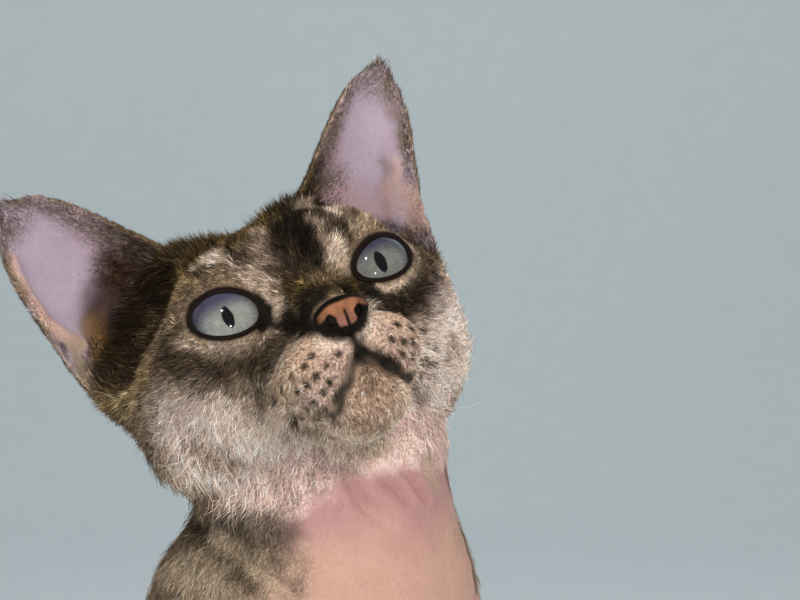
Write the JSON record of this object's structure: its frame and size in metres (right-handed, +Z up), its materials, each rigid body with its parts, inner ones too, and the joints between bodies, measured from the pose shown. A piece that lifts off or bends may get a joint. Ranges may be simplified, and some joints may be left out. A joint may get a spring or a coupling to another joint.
{
  "type": "devon rex cat",
  "caption": "Short-haired wavy-coated cat with very large ears, sitting upright with its tail round its side, its head raised, turned and tilted.",
  "frame": {"origin": "on the floor, under the middle of the whole cat's bounding box", "axes": "+Z up, the cat's chest faces -Y, its left side is +X"},
  "size_m": [0.195, 0.2542, 0.3519],
  "materials": {
    "coat": "short wavy fur, brown tabby",
    "pale_coat": "thin pale fur over pink skin",
    "ear_skin": "almost bare skin inside, short brown fur behind",
    "nose_leather": "moist brown and orange skin",
    "eye": "clear wet cornea over a grey-blue iris"
  },
  "bodies": {
    "root": {"head": "coat", "nose": "nose_leather", "eye_left": "eye", "eye_right": "eye", "ear_left": "ear_skin", "ear_right": "ear_skin", "chest": "pale_coat", "loin": "coat", "neck": "pale_coat", "upper_arm_left": "coat", "forearm_left": "coat", "front_paw_left": "coat", "thigh_left": "coat", "shank_left": "coat", "hind_foot_left": "coat", "hind_paw_left": "coat", "upper_arm_right": "coat", "forearm_right": "coat", "front_paw_right": "coat", "thigh_right": "coat", "shank_right": "coat", "hind_foot_right": "coat", "hind_paw_right": "coat", "tail_1": "coat", "tail_2": "coat", "tail_3": "coat", "tail_4": "coat"}
  },
  "joints": []
}
